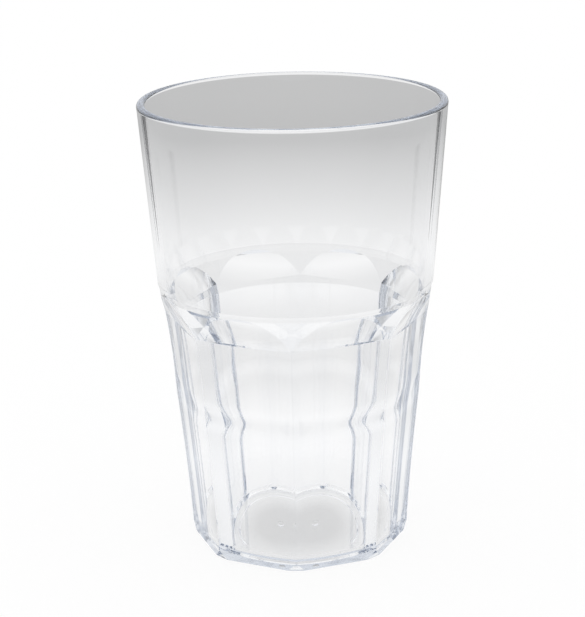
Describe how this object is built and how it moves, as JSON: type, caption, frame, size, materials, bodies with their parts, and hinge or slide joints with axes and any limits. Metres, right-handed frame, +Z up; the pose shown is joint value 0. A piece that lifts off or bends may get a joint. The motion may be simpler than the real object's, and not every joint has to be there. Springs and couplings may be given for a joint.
{
  "type": "mojito glass",
  "caption": "Tall clear plastic mojito tumbler with a flat-sided lower body in two tiers, arched bevels under a ring line and a plain round top.",
  "frame": {"origin": "centre of the underside, on the plane the tumbler stands on", "axes": "+Z up along the tumbler's axis, towards the rim; -Y through the ridge between two flats that faces the viewer"},
  "size_m": [0.0878, 0.0878, 0.131],
  "materials": {
    "clear_plastic": "clear, polished as moulded"
  },
  "bodies": {
    "root": {"tumbler": "clear_plastic"}
  },
  "joints": []
}
